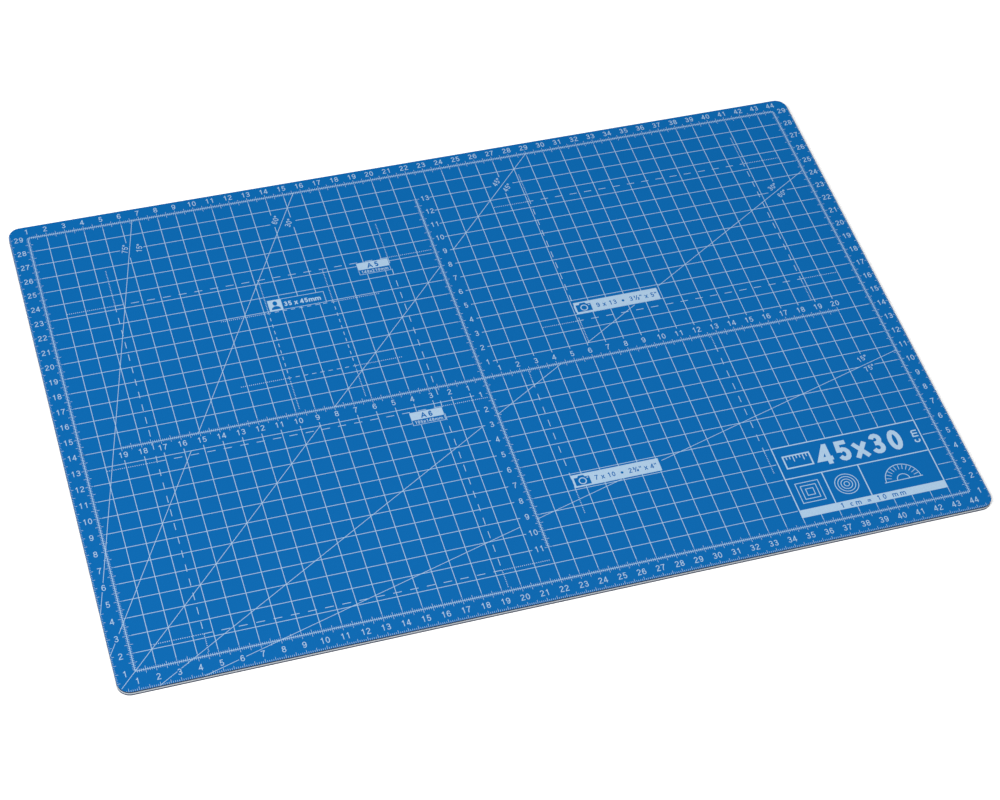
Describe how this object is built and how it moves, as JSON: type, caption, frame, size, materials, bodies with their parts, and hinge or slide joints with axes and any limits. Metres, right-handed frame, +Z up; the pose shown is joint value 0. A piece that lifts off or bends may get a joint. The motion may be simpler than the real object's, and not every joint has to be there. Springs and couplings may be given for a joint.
{
  "type": "self healing mat",
  "caption": "Flat rectangular self-healing cutting mat of bonded soft and rigid plies, rounded corners, printed with a centimetre grid, scales and angle lines.",
  "frame": {"origin": "centre of the underside, on the surface that the mat lies on", "axes": "+X along the length, to the right as the numerals are read; +Y away from the reader; +Z up, out of the printed side"},
  "size_m": [0.4494, 0.299, 0.0031],
  "materials": {
    "dark_pvc_sheet": "matte, fine moulded grain",
    "dark_soft_pvc": "matte die-cut edge",
    "clear_core": "pale translucent die-cut edge",
    "blue_soft_pvc": "satin die-cut edge",
    "blue_pvc_sheet": "satin, fine moulded grain",
    "white_ink": "satin screen-printed film"
  },
  "bodies": {
    "root": {"bottom_wear_sheet": "dark_pvc_sheet", "lower_soft_layer": "dark_soft_pvc", "rigid_core": "clear_core", "upper_soft_layer": "blue_soft_pvc", "top_wear_sheet": "blue_pvc_sheet", "grid_lines_lengthwise": "white_ink", "grid_lines_crosswise": "white_ink", "centre_scale_lengthwise": "white_ink", "centre_scale_crosswise": "white_ink", "angle_line_15_run_1": "white_ink", "angle_line_15_run_2": "white_ink", "angle_line_15_run_3": "white_ink", "angle_line_30_run_1": "white_ink", "angle_line_30_run_2": "white_ink", "angle_line_30_run_3": "white_ink", "angle_line_30_run_4": "white_ink", "angle_line_45_run_1": "white_ink", "angle_line_45_run_2": "white_ink", "angle_line_45_run_3": "white_ink", "angle_line_60_run_1": "white_ink", "angle_line_60_run_2": "white_ink", "angle_line_75_run_1": "white_ink", "label_plate_35_by_45": "white_ink", "label_plate_a5": "white_ink", "label_plate_a6": "white_ink", "label_plate_9_by_13": "white_ink", "label_plate_7_by_10": "white_ink", "corner_panel": "white_ink"}
  },
  "joints": []
}
